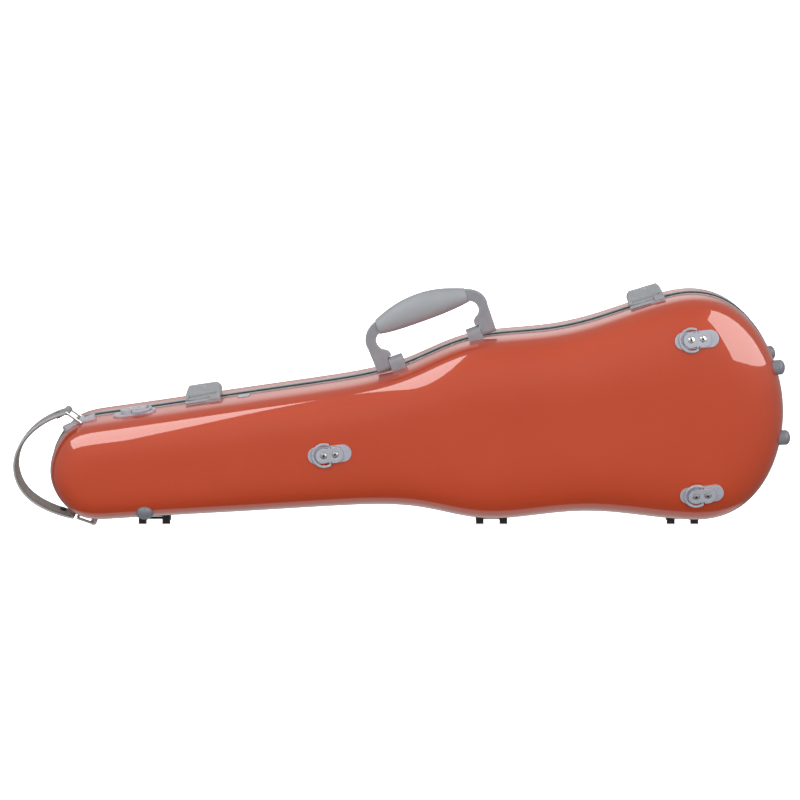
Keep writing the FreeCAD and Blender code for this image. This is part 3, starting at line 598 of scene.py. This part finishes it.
def soft_copy(solid, name, voxel, rounds, shape, finish):
    """Soft stand-in for a plain solid: relaxed so that its edges roll over, then filled out by shape."""
    mesh = evened_mesh(solid, name, voxel)
    count = len(mesh.vertices)
    place = vertex_places(mesh)
    pairs = np.empty(len(mesh.edges) * 2, int)
    mesh.edges.foreach_get("vertices", pairs)
    first, second = pairs.reshape(-1, 2).T
    around = np.bincount(pairs, minlength=count)
    for _ in range(rounds):
        for axis in range(3):
            column = place[:, axis]
            total = np.bincount(first, column[second], count) + np.bincount(second, column[first], count)
            place[:, axis] += RELAX * (total / around - column)
    mesh.vertices.foreach_set("co", place.ravel())
    mesh.update()
    normal = np.empty(count * 3)
    mesh.vertex_normals.foreach_get("vector", normal)
    normal = normal.reshape(-1, 3)
    back = np.array(CASE.inverted())
    local = (place @ back[:3, :3].T + back[:3, 3]) / MM
    lift = shape(local, normal @ back[:3, :3].T)
    place += normal * (lift * MM)[:, None]
    mesh.vertices.foreach_set("co", place.ravel())
    mesh.update()
    obj = add_object(name, mesh, MATERIALS[finish])
    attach(obj, body_of_node[solid])
    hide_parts(solid)
    return obj


def quilted(toward, puff, rim_level=0.0):
    """Foam under plush: sewn channels across the faces that look towards the opening, none near the rim."""
    def lift(place, normal):
        channel = np.abs(np.sin(np.pi * place[:, 0] / QUILT_PITCH)) ** 0.6
        channel[np.abs(place[:, 1]) < rim_level] = 1.0
        facing = np.clip((normal[:, 1] * toward - 0.5) / 0.4, 0, 1)
        return facing * (channel * (puff + QUILT_SEAM) - QUILT_SEAM)
    return lift


def crowned(axis, middle, half, puff):
    """Filling that stands highest along the middle and falls off to the edges."""
    def lift(place, normal):
        off = np.clip(np.abs(place[:, axis] - middle) / half, 0, 1)
        return puff * (1 - off ** 2)
    return lift


def make_soft_pieces():
    plush_parts = (
        ("base_liner", "base_liner_plush", 3.0, 4, quilted(1, 0.8)),
        ("lid_liner", "lid_liner_plush", 3.0, 4, quilted(-1, 1.6, LID_RIM_LEVEL)),
        ("neck_cradle", "neck_cradle_plush", 1.2, 5, crowned(0, 281.0, 19.0, 1.2)),
        ("accessory_lid", "accessory_lid_plush", 1.0, 4, crowned(0, 112.0, 22.0, 0.5)),
    )
    for solid, name, voxel, rounds, shape in plush_parts:
        soft_copy(solid, name, voxel, rounds, shape, "lining_plush")
    tapes = (
        ("neck_strap", "neck_strap_band", 0.7, 4, crowned(0, 281.0, 13.0, 0.7)),
        ("accessory_lid_tab", "accessory_lid_pull", 0.45, 3, crowned(2, 0.0, 7.0, 0.2)),
    )
    for solid, name, voxel, rounds, shape in tapes:
        soft_copy(solid, name, voxel, rounds, shape, "lining_tape")
    for solid in ("bow_tip_holder_1", "bow_tip_holder_2"):
        shape = crowned(0, 54.0, 12.0, 0.9)
        soft_copy(solid, solid + "_sleeve", 0.9, 5, shape, "lining_tape")


def strap_distance(local):
    """Distance along the hand strap's path of each (x, z) point."""
    steps = np.linspace(0, 1, 401)
    path = np.array(STRAP_PATH, float)
    chord = np.concatenate([[0], np.cumsum(np.hypot(*np.diff(path, axis=0).T))])
    line = np.stack([np.interp(steps * chord[-1], chord, path[:, axis]) for axis in (0, 1)], 1)
    gap = ((local[:, None, :] - line[None]) ** 2).sum(2)
    return steps[gap.argmin(1)] * chord[-1]


def make_strap():
    """Hide and its webbing, each with its distances along and across the strap for stitches and ribs."""
    for solid, name, puff, finish in (
        ("strap_leather", "strap_leather_band", 0.35, "strap_hide"),
        ("strap_webbing", "strap_webbing_band", 0.2, "strap_weave"),
    ):
        shape = crowned(1, STRAP_Y, STRAP_WIDTH / 2, puff)
        obj = soft_copy(solid, name, 0.8, 3, shape, finish)
        place = (vertex_places(obj.data) - np.array(HINGE)) / MM
        along = obj.data.attributes.new("along", "FLOAT", "POINT")
        along.data.foreach_set("value", strap_distance(place[:, [0, 2]] + np.array([0, HINGE_HEIGHT])))
        across = obj.data.attributes.new("across", "FLOAT", "POINT")
        across.data.foreach_set("value", place[:, 1] - STRAP_Y)


def make_shells():
    halves = (
        ("base_shell_gloss", "base_shell", "base", -1, BASE_EDGE),
        ("lid_shell_gloss", "lid_shell", "lid", 1, LID_EDGE),
    )
    for name, solid, body, side, start in halves:
        shell = make_shell(name, side, start, MATERIALS["shell_lacquer"])
        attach(shell, body)
        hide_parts(solid)


make_camera()
make_stage()
make_lights()
dress_cad_nodes()

bodies = frame["record"]["behaviour"]["bodies"]
body_of_node = {solid: body for body, solids in bodies.items() for solid in solids}
make_soft_pieces()
make_strap()
make_shells()
